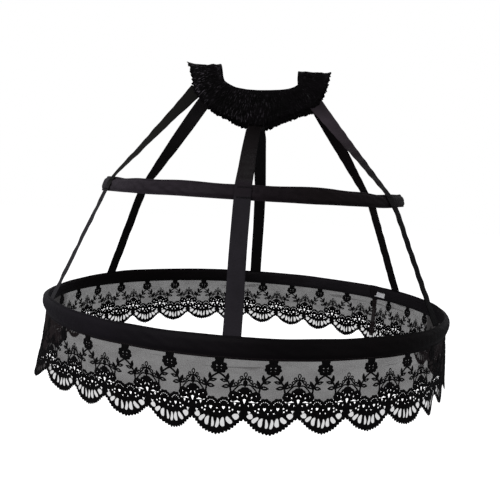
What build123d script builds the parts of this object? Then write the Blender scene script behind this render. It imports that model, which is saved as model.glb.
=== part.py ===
from build123d import *
from math import cos, degrees, pi, radians, sin, sqrt, tan
import os

# Crinoline cage for a skirt: an elastic waistband, six ribbon straps, two boned hoops and a lace hem.
# Millimetres, +Z up. The origin is the middle of the waist opening, level with the low front point
# of the waistband's upper hem. The front of the garment faces -Y.
# It hangs as if two wide pegs lifted the waistband at the wearer's hips.

# Levels below the waist line
WAIST_TO_MID_HOOP = 176.0       # down to the middle of the middle hoop's casing
WAIST_TO_HEM_BAND = 363.0       # down to the upper edge of the bottom band

# Waistband: a ruched strip draped over a smooth arch that runs from hip to hip
ARCH_HALF_DEPTH = 56.0          # front to middle at the widest level
ARCH_HEIGHT = 116.0             # from the widest level up to the fold over the hips
ARCH_CENTRE_Z = -66.0           # widest level
BAND_THICKNESS = 3.4
BAND_FRONT_HEIGHT = 61.0        # frill edge to upper hem at the front centre
EAR_INNER_X = 66.0              # the lifted side stretch starts here
EAR_OUTER_X = 127.0             # and ends here
ELASTIC_THICKNESS = 1.0
ELASTIC_CLEARANCE = 0.2         # each side of the elastic in its channel
ELASTIC_INSET = 10.0            # elastic's edge inside the band's edge

# Straps: grosgrain ribbon
STRAP_COUNT = 6
STRAP_WIDTH = 25.0
STRAP_THICKNESS = 0.8
STRAP_TAB = 12.0                # length sewn behind the waistband
STRAP_CLEARANCE = 0.1           # off the outside of the middle hoop's casing
TAB_CLEARANCE = 0.6            # middle of the flat tab to the curved band; its corners come nearer
SIDE_STRAP_TOPS = {             # where the four side straps pass behind the waistband, x and z
    "front_left": (-120.5, -9.0),
    "front_right": (104.0, -23.0),
    "back_left": (-110.0, -17.0),
    "back_right": (107.0, -21.0),
}
CENTRE_STRAP_DROP = 1.2         # the front and back straps bend in this far under its frill
TWIST_STEPS = 5                 # the side straps turn from the waistband's plane to the hoop's

# Hoops: flat boning in flat fabric casings that lean out as they go down
MID_HOOP_RADIUS = 266.0         # middle of the casing
MID_CASING_HEIGHT = 22.0
MID_CASING_LEAN = 20.0          # degrees from vertical
HEM_HOOP_RADIUS = 352.0         # middle of the band's upper edge
HEM_CASING_HEIGHT = 29.0
HEM_CASING_LEAN = 12.0
CASING_THICKNESS = 5.0
BONING_HEIGHT = 10.0
BONING_THICKNESS = 1.6
BONING_GAP = 3.0                # between the boning's two ends, inside the joiner
JOINER_WALL = 0.5
JOINER_LENGTH = 42.0
JOINER_FIT = 0.1                # boning to joiner, each side
CHANNEL_FIT = 0.2               # joiner to casing, each side

# Lace hem
LACE_HEIGHT = 99.0              # band's lower edge to the scallop tips
LACE_CUSP = 79.0                # band's lower edge to the notches between scallops
LACE_THICKNESS = 1.2
LACE_REPEATS = 32

# Blank sewn-in label
LABEL_WIDTH = 26.0
LABEL_HEIGHT = 15.0
LABEL_THICKNESS = 0.5
LABEL_AZIMUTH = 37.0            # degrees from +X, seen from above
LABEL_CLEARANCE = 0.2

os.makedirs("parts", exist_ok=True)


def save(shape, name):
    shape.label = name
    export_step(shape, f"parts/{name}.step")


# ---------------------------------------------------------------- waistband
def arch(inset, z_low):
    """Solid under the arch, its wall moved in by inset, running from hip to hip."""
    half_depth = ARCH_HALF_DEPTH - inset
    height = ARCH_HEIGHT - inset
    top = Plane.YZ * (Pos(0, ARCH_CENTRE_Z) * Ellipse(half_depth, height))
    base = Plane.YZ * (Pos(0, (ARCH_CENTRE_Z + z_low) / 2)
                       * Rectangle(2 * half_depth, ARCH_CENTRE_Z - z_low))
    upper = Plane.YZ * (Pos(0, ARCH_CENTRE_Z + ARCH_HEIGHT) * Rectangle(4 * half_depth, 2 * ARCH_HEIGHT))
    return extrude((top & upper) + base, amount=EAR_OUTER_X + 20, both=True)


def edge(points, inset, side):
    """Edge curve through (x, z, turn) points, moved into the band by inset; turn is its heading in degrees."""
    moved = [(x + side * inset * sin(radians(turn)), z - side * inset * cos(radians(turn)))
             for x, z, turn in points]
    return Spline(*moved, tangents=[(1, 0), (0, 1)]), moved[0], moved[-1]


def band_outline(inset):
    """Front view of the band: it dips in the middle and turns up to the hips."""
    over = ARCH_CENTRE_Z + ARCH_HEIGHT + 30
    low = -BAND_FRONT_HEIGHT
    hem, hem_start, hem_end = edge(
        [(0, 0, 0), (0.6 * EAR_INNER_X, 1, 5), (0.85 * EAR_INNER_X, 6, 40),
         (EAR_INNER_X - 3, 20, 85), (EAR_INNER_X - 2, 34, 90)], inset, 1)
    frill, frill_start, frill_end = edge(
        [(0, low, 0), (0.15 * EAR_OUTER_X, low + 2, 10), (0.3 * EAR_OUTER_X, low + 8, 28),
         (0.5 * EAR_OUTER_X, low + 20, 30), (0.72 * EAR_OUTER_X, low + 34, 27),
         (0.87 * EAR_OUTER_X, low + 46, 45), (EAR_OUTER_X - 6, low + 60, 65),
         (EAR_OUTER_X - 1, low + 80, 85), (EAR_OUTER_X, low + 96, 90)], inset, -1)
    right = make_face(Curve() + [
        hem, frill, Line(hem_end, (hem_end[0], over)), Line((hem_end[0], over), (frill_end[0], over)),
        Line((frill_end[0], over), frill_end), Line(hem_start, frill_start)])
    return Plane.XZ * (right + mirror(right, about=Plane.YZ))


def band_shell(outer_inset, inner_inset, edge_inset):
    z_low = -BAND_FRONT_HEIGHT - 20
    wall = arch(outer_inset, z_low) - arch(inner_inset, z_low - 1)
    return wall & extrude(band_outline(edge_inset), amount=ARCH_HALF_DEPTH + 20, both=True)


channel_in = (BAND_THICKNESS - ELASTIC_THICKNESS) / 2 - ELASTIC_CLEARANCE
channel_out = BAND_THICKNESS - channel_in
waistband_casing = band_shell(0, BAND_THICKNESS, 0) - band_shell(channel_in, channel_out,
                                                                 ELASTIC_INSET - ELASTIC_CLEARANCE)
waist_elastic = band_shell(channel_in + ELASTIC_CLEARANCE, channel_out - ELASTIC_CLEARANCE, ELASTIC_INSET)
save(waistband_casing, "waistband_casing")
save(waist_elastic, "waist_elastic")


# ---------------------------------------------------------------- hoops
def leaning_section(radius, z_mid, height, thickness, lean):
    """Section of a flat strip that stands on edge and leans out, with level upper and lower edges."""
    run = height / 2 * tan(radians(lean))
    half = thickness / 2
    corners = [(radius - run - half, z_mid + height / 2), (radius - run + half, z_mid + height / 2),
               (radius + run + half, z_mid - height / 2), (radius + run - half, z_mid - height / 2)]
    return Plane.XZ * make_face(Polyline(*corners, close=True))


def hoop(name, radius, z_mid, casing_height, lean):
    """Casing, boning and joiner of one hoop; radius and z_mid are those of the casing's middle."""
    joiner_height = BONING_HEIGHT + 2 * (JOINER_FIT + JOINER_WALL)
    joiner_thickness = BONING_THICKNESS + 2 * (JOINER_FIT + JOINER_WALL)
    bore = leaning_section(radius, z_mid, BONING_HEIGHT + 2 * JOINER_FIT,
                           BONING_THICKNESS + 2 * JOINER_FIT, lean)
    sleeve = leaning_section(radius, z_mid, joiner_height, joiner_thickness, lean)
    channel = leaning_section(radius, z_mid, joiner_height + 2 * CHANNEL_FIT,
                              joiner_thickness + 2 * CHANNEL_FIT, lean)
    casing = leaning_section(radius, z_mid, casing_height, CASING_THICKNESS, lean)
    strip = leaning_section(radius, z_mid, BONING_HEIGHT, BONING_THICKNESS, lean)
    joint_azimuth = 90 - STRAP_SPACING / 2                  # in the back, between two straps
    gap = degrees(BONING_GAP / radius)
    span = degrees(JOINER_LENGTH / radius)
    save(revolve(casing - channel, Axis.Z), f"{name}_casing")
    save(Rot(0, 0, joint_azimuth + gap / 2) * revolve(strip, Axis.Z, 360 - gap), f"{name}_boning")
    save(Rot(0, 0, joint_azimuth - span / 2) * revolve(sleeve - bore, Axis.Z, span), f"{name}_joiner")


STRAP_SPACING = 360 / STRAP_COUNT
mid_z = -WAIST_TO_MID_HOOP
hem_z = -WAIST_TO_HEM_BAND - HEM_CASING_HEIGHT / 2
hem_run = HEM_CASING_HEIGHT / 2 * tan(radians(HEM_CASING_LEAN))
hem_mid_radius = HEM_HOOP_RADIUS + hem_run
hoop("mid_hoop", MID_HOOP_RADIUS, mid_z, MID_CASING_HEIGHT, MID_CASING_LEAN)
hoop("bottom_hoop", hem_mid_radius, hem_z, HEM_CASING_HEIGHT, HEM_CASING_LEAN)


# ---------------------------------------------------------------- straps
def ribbon(points, widths, end_through):
    """Ribbon through points, each with its width direction; the last section lies along end_through."""
    runs = [(q - p).normalized() for p, q in zip(points, points[1:])]
    sections = []
    for i, (middle, across) in enumerate(zip(points, widths)):
        before = across.cross(runs[max(i - 1, 0)]).normalized()
        after = across.cross(runs[min(i, len(runs) - 1)]).normalized()
        through = end_through if i == len(runs) else (before + after).normalized()
        half = through * (STRAP_THICKNESS / 2 / through.dot(before))
        side = across.normalized() * (STRAP_WIDTH / 2)
        sections.append(make_face(Polyline(middle - side - half, middle + side - half,
                                           middle + side + half, middle - side + half, close=True)))
    return loft(sections, ruled=True)


def wall_depth(z):
    """Distance from the middle plane to the inside of the waistband at height z."""
    up = max(0.0, z - ARCH_CENTRE_Z) / (ARCH_HEIGHT - BAND_THICKNESS)
    return (ARCH_HALF_DEPTH - BAND_THICKNESS) * sqrt(1 - up * up)


def strap(name, azimuth, x_top, z_top):
    a = radians(azimuth)
    out = Vector(cos(a), sin(a), 0)
    along = Vector(-sin(a), cos(a), 0)                      # width direction at the hoops
    front = -1 if sin(a) < 0 else 1
    lean = tan(radians(MID_CASING_LEAN))
    off = (CASING_THICKNESS / 2 + STRAP_CLEARANCE / cos(radians(MID_CASING_LEAN))
           + STRAP_THICKNESS / 2 / cos(radians(MID_CASING_LEAN)))

    def on_casing(dz):
        return out * (MID_HOOP_RADIUS - dz * lean + off) + Vector(0, 0, mid_z + dz)

    top = on_casing(MID_CASING_HEIGHT / 2 + STRAP_THICKNESS)
    bottom = on_casing(-MID_CASING_HEIGHT / 2)
    end = out * HEM_HOOP_RADIUS + Vector(0, 0, -WAIST_TO_HEM_BAND)
    seat = TAB_CLEARANCE + STRAP_THICKNESS / 2
    entry = Vector(x_top, front * (wall_depth(z_top) - seat), z_top)
    # the tab keeps the strap's heading in front view and lies along the band's inside
    heading = entry - top
    tab_dir = Vector(heading.X, 0, heading.Z).normalized()
    z_tip = z_top + STRAP_TAB * tab_dir.Z
    tip = Vector(x_top + STRAP_TAB * tab_dir.X, front * (wall_depth(z_tip) - seat), z_tip)
    tab = tip - entry
    wall_normal = Vector(1, 0, 0).cross(tab).normalized()
    across = wall_normal.cross(tab).normalized()
    if across.dot(along) < 0:
        across = across * -1
    points, widths = [tip, entry], [across, across]
    for k in range(1, TWIST_STEPS):
        share = k / TWIST_STEPS
        blend = across * (1 - share) + along * share
        run = heading.normalized()
        points.append(entry + (top - entry) * share)
        widths.append((blend - run * blend.dot(run)).normalized())
    save(ribbon(points + [top, bottom, end], widths + [along] * 3, out), name)


strap("strap_front", -90, 0, -BAND_FRONT_HEIGHT - CENTRE_STRAP_DROP)
strap("strap_back", 90, 0, -BAND_FRONT_HEIGHT - CENTRE_STRAP_DROP)
strap("strap_front_left", -90 - STRAP_SPACING, *SIDE_STRAP_TOPS["front_left"])
strap("strap_front_right", -90 + STRAP_SPACING, *SIDE_STRAP_TOPS["front_right"])
strap("strap_back_left", 90 + STRAP_SPACING, *SIDE_STRAP_TOPS["back_left"])
strap("strap_back_right", 90 - STRAP_SPACING, *SIDE_STRAP_TOPS["back_right"])

# ---------------------------------------------------------------- lace hem
lace_top = -WAIST_TO_HEM_BAND - HEM_CASING_HEIGHT
lace_radius = hem_mid_radius + hem_run
pitch = 2 * pi * lace_radius / LACE_REPEATS
lace_ring = Pos(0, 0, lace_top - LACE_HEIGHT) * (
    Cylinder(lace_radius + LACE_THICKNESS / 2, LACE_HEIGHT, align=(Align.CENTER, Align.CENTER, Align.MIN))
    - Cylinder(lace_radius - LACE_THICKNESS / 2, LACE_HEIGHT, align=(Align.CENTER, Align.CENTER, Align.MIN)))
scallop_depth = LACE_HEIGHT - LACE_CUSP
notch_low = -LACE_HEIGHT - 5
bulge = 0.3 * pitch, -LACE_CUSP - 0.86 * scallop_depth
notch = make_face(Curve() + [
    ThreePointArc((0, -LACE_CUSP), (0.13 * pitch, -LACE_CUSP - 0.56 * scallop_depth), bulge),
    Line(bulge, (0.499 * pitch, -LACE_HEIGHT)),
    Line((0.499 * pitch, -LACE_HEIGHT), (0.499 * pitch, notch_low)),
    Line((0.499 * pitch, notch_low), (0, notch_low)),
    Line((0, notch_low), (0, -LACE_CUSP))])
notch = notch + mirror(notch, about=Plane.YZ)
cutter = extrude(Plane.XZ.offset(lace_radius) * notch, amount=12, both=True)
cutters = [Rot(0, 0, (k + 0.5) * 360 / LACE_REPEATS) * (Pos(0, 0, lace_top) * cutter)
           for k in range(LACE_REPEATS)]
save(lace_ring - cutters, "lace_trim")

# ---------------------------------------------------------------- label
label_radius = (hem_mid_radius - CASING_THICKNESS / 2 - LABEL_CLEARANCE - LABEL_THICKNESS / 2)
label = (Rot(0, 0, LABEL_AZIMUTH)
         * Pos(sqrt(label_radius ** 2 - (LABEL_WIDTH / 2) ** 2), 0, hem_z - hem_run)
         * Rot(0, -HEM_CASING_LEAN, 0)
         * Box(LABEL_THICKNESS, LABEL_WIDTH, LABEL_HEIGHT))
save(label, "care_label")
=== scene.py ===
import bpy
import math
import numpy as np
from mathutils import Matrix, Vector
from mathutils.geometry import delaunay_2d_cdt


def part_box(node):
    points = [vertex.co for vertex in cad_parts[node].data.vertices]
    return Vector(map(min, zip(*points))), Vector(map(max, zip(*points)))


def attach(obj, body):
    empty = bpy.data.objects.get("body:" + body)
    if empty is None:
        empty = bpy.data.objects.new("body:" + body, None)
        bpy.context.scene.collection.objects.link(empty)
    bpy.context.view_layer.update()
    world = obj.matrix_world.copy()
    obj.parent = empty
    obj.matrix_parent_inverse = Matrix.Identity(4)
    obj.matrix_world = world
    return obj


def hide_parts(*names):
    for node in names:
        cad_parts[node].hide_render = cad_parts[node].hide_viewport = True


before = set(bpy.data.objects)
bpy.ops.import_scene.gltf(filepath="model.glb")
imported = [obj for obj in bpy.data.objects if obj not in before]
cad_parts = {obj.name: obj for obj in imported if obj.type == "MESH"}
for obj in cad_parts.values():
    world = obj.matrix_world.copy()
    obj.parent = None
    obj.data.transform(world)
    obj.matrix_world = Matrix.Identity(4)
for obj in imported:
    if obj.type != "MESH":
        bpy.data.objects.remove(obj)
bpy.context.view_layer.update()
MM = 0.001
TAU = 2 * math.pi
rad = math.radians


# ---------------- places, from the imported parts
def box(node):
    lo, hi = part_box(node)
    return np.array(lo), np.array(hi)


BAND_LO, BAND_HI = box("waistband_casing")
HEM_LO, HEM_HI = box("bottom_hoop_casing")
CASING_T = 5 * MM
MID_LEAN, HEM_LEAN = rad(20), rad(12)


def casing_middle(lo, hi, lean):
    """Radius and height of a casing's middle line, and how tall it stands."""
    height = hi[2] - lo[2]
    return hi[0] - CASING_T / 2 - height / 2 * math.tan(lean), (hi[2] + lo[2]) / 2, height


MID_R, MID_Z, MID_H = casing_middle(*box("mid_hoop_casing"), MID_LEAN)
HEM_R, HEM_Z, HEM_H = casing_middle(HEM_LO, HEM_HI, HEM_LEAN)
HEM_TOP_R = HEM_R - HEM_H / 2 * math.tan(HEM_LEAN)
LACE_R = HEM_R + HEM_H / 2 * math.tan(HEM_LEAN)     # the hem band's lower edge, where the lace hangs
SEAM_AZ = 40.7                      # where the hem band and the lace close, at the back right
LABEL_AZ = 37.0


# ---------------- small tools
def ripple(theta, seed, low, high, power=1.0):
    """Smooth repeating waviness around a ring, about -1 to 1, with low to high waves a turn."""
    rng = np.random.default_rng(seed)
    out = np.zeros_like(theta)
    total = 0.0
    for k in range(low, high + 1):
        weight = 1.0 / (k / low) ** power
        out += weight * rng.normal() * np.cos(k * theta + rng.uniform(0, TAU))
        total += weight ** 2
    return out / math.sqrt(total) * 0.9


def random_waves(rng, angle, counts, twists=None):
    """Cosines of random size and phase added up: counts are waves a turn, twists are added to the angles."""
    twists = twists or [0] * len(counts)
    return sum(rng.normal() * np.cos(k * angle + twist + rng.uniform(0, 6.3))
               for k, twist in zip(counts, twists))


def smooth(x, a, b):
    """0 up to a, 1 from b on, and an even bend between them."""
    t = np.clip((x - a) / (b - a), 0, 1)
    return t * t * (3 - 2 * t)


def around(table, theta):
    """Smooth value from a table of (degrees, value) round the ring."""
    deg = np.degrees(theta) % 360
    a, b = np.array(table, float).T
    a = np.concatenate([a - 360, a, a + 360])
    b = np.concatenate([b, b, b])
    fine = np.arange(-30, 390.25, 0.25)
    k = np.hanning(41)
    v = np.convolve(np.interp(np.arange(-60, 420.25, 0.25), a, b), k / k.sum(), mode="same")
    return np.interp(deg, fine, v[120:120 + len(fine)])


def softened(values, window):
    """Values averaged with their neighbours, over that many."""
    k = np.hanning(window)
    return np.convolve(values, k / k.sum(), mode="same")


def run_length(points):
    """Distance from the first point of a line to each of its points."""
    return np.concatenate([[0], np.cumsum(np.linalg.norm(np.diff(points, axis=0), axis=1))])


def unit(vectors):
    return vectors / np.maximum(np.linalg.norm(vectors, axis=-1, keepdims=True), 1e-12)


def catmull(points, per_run):
    """Smooth line through points, each run cut into that many steps."""
    pts = np.array(points)
    ext = np.vstack([2 * pts[0] - pts[1], pts, 2 * pts[-1] - pts[-2]])
    out = []
    for i in range(len(pts) - 1):
        p0, p1, p2, p3 = ext[i:i + 4]
        for t in np.linspace(0, 1, per_run[i], endpoint=False):
            out.append(0.5 * (2 * p1 + (p2 - p0) * t + (2 * p0 - 5 * p1 + 4 * p2 - p3) * t ** 2
                              + (3 * p1 - p0 - 3 * p2 + p3) * t ** 3))
    out.append(pts[-1])
    return np.array(out)


# ---------------- meshes
def new_mesh(name, verts, faces, material, cloth=None, node=None):
    """A smooth-shaded piece on the root body. cloth is each point's place on the flat cloth, in metres."""
    mesh = bpy.data.meshes.new(name)
    mesh.from_pydata(np.reshape(verts, (-1, 3)).tolist(), [], [list(map(int, f)) for f in faces])
    mesh.validate()
    if cloth is not None:
        attr = mesh.attributes.new("cloth", "FLOAT_VECTOR", "POINT")
        attr.data.foreach_set("vector", np.ascontiguousarray(cloth, dtype=np.float32).ravel())
    mesh.polygons.foreach_set("use_smooth", [True] * len(mesh.polygons))
    mesh.update()
    obj = bpy.data.objects.new(name, mesh)
    bpy.context.scene.collection.objects.link(obj)
    mesh.materials.append(material)
    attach(obj, "root")
    if node:
        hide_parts(node)
    return obj


def grid_faces(nu, nv, close_u, close_v):
    i = np.arange(nu if close_u else nu - 1)
    j = np.arange(nv if close_v else nv - 1)
    I, J = np.meshgrid(i, j, indexing="ij")
    I2, J2 = (I + 1) % nu, (J + 1) % nv
    return np.stack([I * nv + J, I2 * nv + J, I2 * nv + J2, I * nv + J2], -1).reshape(-1, 4)


def cloth_map(along, across, shape):
    return np.stack([np.broadcast_to(along, shape), np.broadcast_to(across, shape), np.zeros(shape)], -1)


def shell_mesh(name, front, back, ring, material, slot, along, across, node=None):
    """A thin closed piece from its two faces: a ring, or a strip with its ends closed."""
    P = np.concatenate([front, back[:, ::-1]], 1)
    nu, nv = P.shape[:2]
    faces = list(grid_faces(nu, nv, ring, True))
    if not ring:
        faces += [tuple(range(nv)), tuple(reversed(range((nu - 1) * nv, nu * nv)))]
    return new_mesh(name, P, faces, material, cloth_map(along[:, None], across, (nu, nv)), node)


# ---------------- materials
def ink(*levels):
    """A dark colour from its red, green and blue in ten-thousandths."""
    return tuple(level / 1e4 for level in levels)


class Shader:
    """A material's Principled shader, and short ways to add the nodes that feed it."""

    def __init__(self, name, color, roughness, sheen=0.0, sheen_rough=0.4, specular=0.3):
        self.mat = bpy.data.materials.new(name)
        self.mat.use_nodes = True
        self.tree = self.mat.node_tree
        self.bsdf = next(n for n in self.tree.nodes if n.type == "BSDF_PRINCIPLED")
        for socket, value in (("Base Color", (*color, 1)), ("Roughness", roughness), ("Sheen Weight", sheen),
                              ("Sheen Roughness", sheen_rough), ("Specular IOR Level", specular),
                              ("Sheen Tint", (0.30, 0.29, 0.34, 1))):
            self.bsdf.inputs[socket].default_value = value

    def node(self, kind, **values):
        """A new node. A value named in_Scale goes to the input Scale, and any other to the node itself."""
        n = self.tree.nodes.new(kind)
        for key, value in values.items():
            if key.startswith("in_"):
                n.inputs[key[3:].replace("_", " ")].default_value = value
            else:
                setattr(n, key, value)
        return n

    def link(self, a, b):
        self.tree.links.new(a, b)

    def feed(self, value, socket):
        self.link(value, self.bsdf.inputs[socket])

    def math(self, operation, a, b=None, clamp=False):
        n = self.node("ShaderNodeMath", operation=operation, use_clamp=clamp)
        for i, value in enumerate((a, b)):
            if isinstance(value, (int, float)):
                n.inputs[i].default_value = value
            elif value is not None:
                self.link(value, n.inputs[i])
        return n.outputs[0]

    def add(self, a, b):
        return self.math("ADD", a, b)

    def times(self, a, b):
        return self.math("MULTIPLY", a, b)

    def blend(self, a, b, share):
        """b's share of the sum, and a for the rest."""
        return self.add(self.times(a, 1 - share), self.times(b, share))

    def remap(self, value, start, end, low, high, curve="LINEAR"):
        n = self.node("ShaderNodeMapRange", in_From_Min=start, in_From_Max=end, in_To_Min=low, in_To_Max=high,
                      interpolation_type=curve)
        self.link(value, n.inputs["Value"])
        return n.outputs[0]

    def split(self, vector):
        n = self.node("ShaderNodeSeparateXYZ")
        self.link(vector, n.inputs[0])
        return n.outputs

    def object_place(self):
        return self.node("ShaderNodeTexCoord").outputs["Object"]

    def cloth(self):
        """Along and across the cloth, in metres, and both as a vector."""
        vector = self.node("ShaderNodeAttribute", attribute_name="cloth").outputs["Vector"]
        along, across, _ = self.split(vector)
        return along, across, vector

    def noise(self, scale, detail=3.0, vector=None, stretch=None):
        n = self.node("ShaderNodeTexNoise", in_Scale=scale, in_Detail=detail)
        vector = self.object_place() if vector is None else vector
        if stretch is not None:
            m = self.node("ShaderNodeMapping", in_Scale=stretch)
            self.link(vector, m.inputs["Vector"])
            vector = m.outputs[0]
        self.link(vector, n.inputs["Vector"])
        return n.outputs["Fac"]

    def waves(self, coord, period):
        return self.math("SINE", self.times(coord, TAU / period))

    def ramp(self, fac, stops):
        """Colour from stops of (position, colour)."""
        r = self.node("ShaderNodeValToRGB")
        ends = r.color_ramp.elements
        for element, (place, color) in ((ends[0], stops[0]), (ends[1], stops[-1])):
            element.position, element.color = place, (*color, 1)
        for place, color in stops[1:-1]:
            r.color_ramp.elements.new(place).color = (*color, 1)
        self.link(fac, r.inputs[0])
        return r.outputs[0]

    def bump(self, height, strength, distance):
        """Relief, on top of what relief there already is."""
        b = self.node("ShaderNodeBump", in_Strength=strength, in_Distance=distance)
        self.link(height, b.inputs["Height"])
        if self.bsdf.inputs["Normal"].is_linked:
            self.link(self.bsdf.inputs["Normal"].links[0].from_socket, b.inputs["Normal"])
        self.feed(b.outputs[0], "Normal")

    def vary(self, fac, dark, light):
        self.feed(self.ramp(fac, [(0.3, dark), (0.7, light)]), "Base Color")

    def shade(self, coord, span, stops, fac, low=0.72, high=1.28):
        """Base colour from a ramp of painted light and shade along one coordinate, made uneven by a noise."""
        ramp = self.ramp(self.math("DIVIDE", coord, span), stops)
        uneven = self.remap(fac, 0.3, 0.7, low, high)
        mix = self.node("ShaderNodeVectorMath", operation="SCALE")
        self.link(ramp, mix.inputs[0])
        self.link(uneven, mix.inputs["Scale"])
        self.feed(mix.outputs[0], "Base Color")

    def rough(self, fac, low, high):
        self.feed(self.remap(fac, 0.3, 0.7, low, high), "Roughness")


def ribbon_material(name, stops):
    """Grosgrain; stops give its colour, with painted light, shade and highlights, by metres down from the
    waist.
    """
    span = 0.5
    s = Shader(name, ink(*stops[-1][1:]), 0.62, sheen=0.03, specular=0.06)
    along, across, vec = s.cloth()
    rib, warp = s.waves(along, 1.1 * MM), s.waves(across, 0.55 * MM)
    s.bump(s.add(rib, s.times(warp, 0.25)), 0.35, 0.12 * MM)
    tone = s.noise(16, 4, vec, (1, 3, 1))
    fine = s.noise(900, 2, vec, (1, 0.15, 1))
    s.shade(along, span, [(place / span, ink(*color)) for place, *color in stops], s.blend(tone, fine, 0.3))
    s.rough(tone, 0.55, 0.72)
    return s.mat


def casing_material(name, length, stops, mottle=0.0):
    """Satin; stops give its colour, with painted light, shade and highlights, by the fraction of a turn from
    the seam.
    """
    s = Shader(name, ink(60, 55, 65), 0.5, sheen=0.03, sheen_rough=0.5, specular=0.06)
    along, across, vec = s.cloth()
    twill = s.waves(s.add(along, s.times(across, 1.6)), 0.7 * MM)
    weft = s.waves(across, 0.45 * MM)
    s.bump(s.add(twill, s.times(weft, 0.4)), 0.2, 0.08 * MM)
    tone = s.noise(7, 4, vec, (1, 2, 1))
    s.bump(s.noise(60, 3, vec, (0.6, 1.6, 1)), 0.25, 0.7 * MM)
    if mottle:
        tone = s.blend(tone, s.noise(75, 3, vec, (1, 1.6, 1)), mottle)
    s.shade(along, length, [(place, ink(*color)) for place, *color in stops], tone, 0.62, 1.38)
    s.rough(tone, 0.42, 0.6)
    return s.mat


def ruched_material():
    """Black crepe, with the crests of the gathers painted paler as highlights, most of all at the wearer's
    right, on the side the key light falls on.
    """
    s = Shader("waistband_cloth", ink(40, 35, 40), 0.75, sheen=0.02, sheen_rough=0.6, specular=0.04)
    _, _, vec = s.cloth()
    s.bump(s.noise(1100, 2, vec, (1, 0.5, 1)), 0.3, 0.25 * MM)
    s.bump(s.noise(240, 3, vec, (1, 0.25, 1)), 0.35, 0.6 * MM)
    tone = s.noise(30, 4)
    plain = s.ramp(tone, [(0.3, ink(10, 7, 8)), (0.7, ink(44, 34, 42))])
    # painted highlights: pale streaks on the crests of the gathers, in patches, strongest at negative x where
    # the key light falls and down to a fifth at the other side
    crest_highlight = s.remap(s.noise(520, 2, vec, (1, 0.2, 1)), 0.56, 0.72, 0.0, 1.0)
    highlight_patch = s.remap(s.noise(26, 2, vec, (1, 1.2, 1)), 0.42, 0.62, 0.15, 1.0)
    side = s.remap(s.split(s.object_place())[0], -0.05, 0.05, 1.0, 0.18)
    mix = s.node("ShaderNodeMixRGB")
    s.link(s.math("MULTIPLY", s.times(crest_highlight, highlight_patch), side, clamp=True), mix.inputs[0])
    s.link(plain, mix.inputs[1])
    # the colour of the painted highlights
    mix.inputs[2].default_value = (*ink(1050, 920, 1080), 1)
    s.feed(mix.outputs[0], "Base Color")
    s.rough(tone, 0.62, 0.85)
    return s.mat


def thread_material(name, color):
    s = Shader(name, color, 0.6, sheen=0.05, specular=0.15)
    twist = s.noise(1800, 2)
    s.bump(twist, 0.3, 0.1 * MM)
    s.vary(twist, tuple(c * 0.75 for c in color), tuple(c * 1.3 for c in color))
    return s.mat


def lace_material():
    s = Shader("lace_thread", ink(40, 35, 40), 0.7, sheen=0.03, specular=0.08)
    along, across, vec = s.cloth()
    fill = s.waves(s.add(along, across), 0.62 * MM)
    fill_back = s.waves(s.math("SUBTRACT", along, across), 0.75 * MM)
    s.bump(s.add(fill, fill_back), 0.4, 0.16 * MM)
    s.bump(s.noise(420, 3, vec), 0.4, 0.4 * MM)
    s.vary(s.noise(120, 4, vec), ink(12, 9, 11), ink(42, 34, 41))
    return s.mat


# where the net is bunched, as the hem turns the corner at each side: (fraction of its length, amount)
NET_BUNCHED = ((0.0, 0), (0.262, 0), (0.285, 1), (0.365, 1), (0.376, 0),
               (0.833, 0), (0.85, 1), (0.948, 1), (0.960, 0))


def net_material(name, thread, hole, folds=0.0, bunched=0.0):
    """Fine hexagonal net: thread and hole are the cover of the threads and of the open cells."""
    s = Shader(name, ink(120, 110, 120), 0.75, sheen=0.03, specular=0.08)
    along, across, vec = s.cloth()
    k = TAU / (1.25 * MM)
    a = s.times(along, k)
    half = s.times(a, 0.5)
    b = s.times(across, k * math.sqrt(0.75))
    diagonals = s.add(s.math("COSINE", s.add(half, b)), s.math("COSINE", s.math("SUBTRACT", half, b)))
    cells = s.add(s.math("COSINE", a), diagonals)
    cover = s.remap(cells, -0.6, 0.9, thread, hole, "SMOOTHSTEP")
    uneven = s.noise(38, 3, vec, (0.5, 1.2, 1))
    cover = s.add(cover, s.times(s.math("SUBTRACT", uneven, 0.5), 0.12))
    if bunched:
        more = s.ramp(s.math("DIVIDE", along, TAU * LACE_R), [(place, (v, v, v)) for place, v in NET_BUNCHED])
        cover = s.add(cover, s.times(more, bunched))
    if folds:
        crease = s.remap(s.noise(26, 2, vec, (0.35, 5.5, 1)), 0.60, 0.66, 0.0, folds)
        fade = s.remap(across, 0.010, 0.022, 1.0, 0.0)
        cover = s.add(cover, s.times(crease, fade))
    s.feed(s.math("MINIMUM", s.math("MAXIMUM", cover, 0.02), 0.98), "Alpha")
    s.bump(cells, 0.3, 0.1 * MM)
    s.vary(uneven, ink(130, 88, 95), ink(260, 185, 195))
    return s.mat


def label_material():
    s = Shader("label_tape", (0.94, 0.94, 0.95), 0.6)
    along, across, vec = s.cloth()
    s.bump(s.add(s.waves(along, 0.6 * MM), s.waves(across, 0.4 * MM)), 0.3, 0.08 * MM)
    s.vary(s.noise(90, 3, vec), (0.91, 0.91, 0.93), (0.98, 0.98, 0.99))
    return s.mat


def plastic_material(name, color):
    s = Shader(name, color, 0.45)
    tone = s.noise(55, 3)
    s.vary(tone, tuple(c * 0.92 for c in color), color)
    s.bump(s.noise(400, 2), 0.15, 0.1 * MM)
    s.rough(tone, 0.4, 0.55)
    return s.mat


def elastic_material():
    s = Shader("elastic_webbing", (0.02, 0.02, 0.02), 0.8, sheen=0.2)
    s.bump(s.noise(700, 2, None, (0.2, 0.2, 1)), 0.5, 0.4 * MM)
    s.vary(s.noise(60, 3), ink(120, 120, 120), ink(300, 300, 300))
    return s.mat
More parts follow.
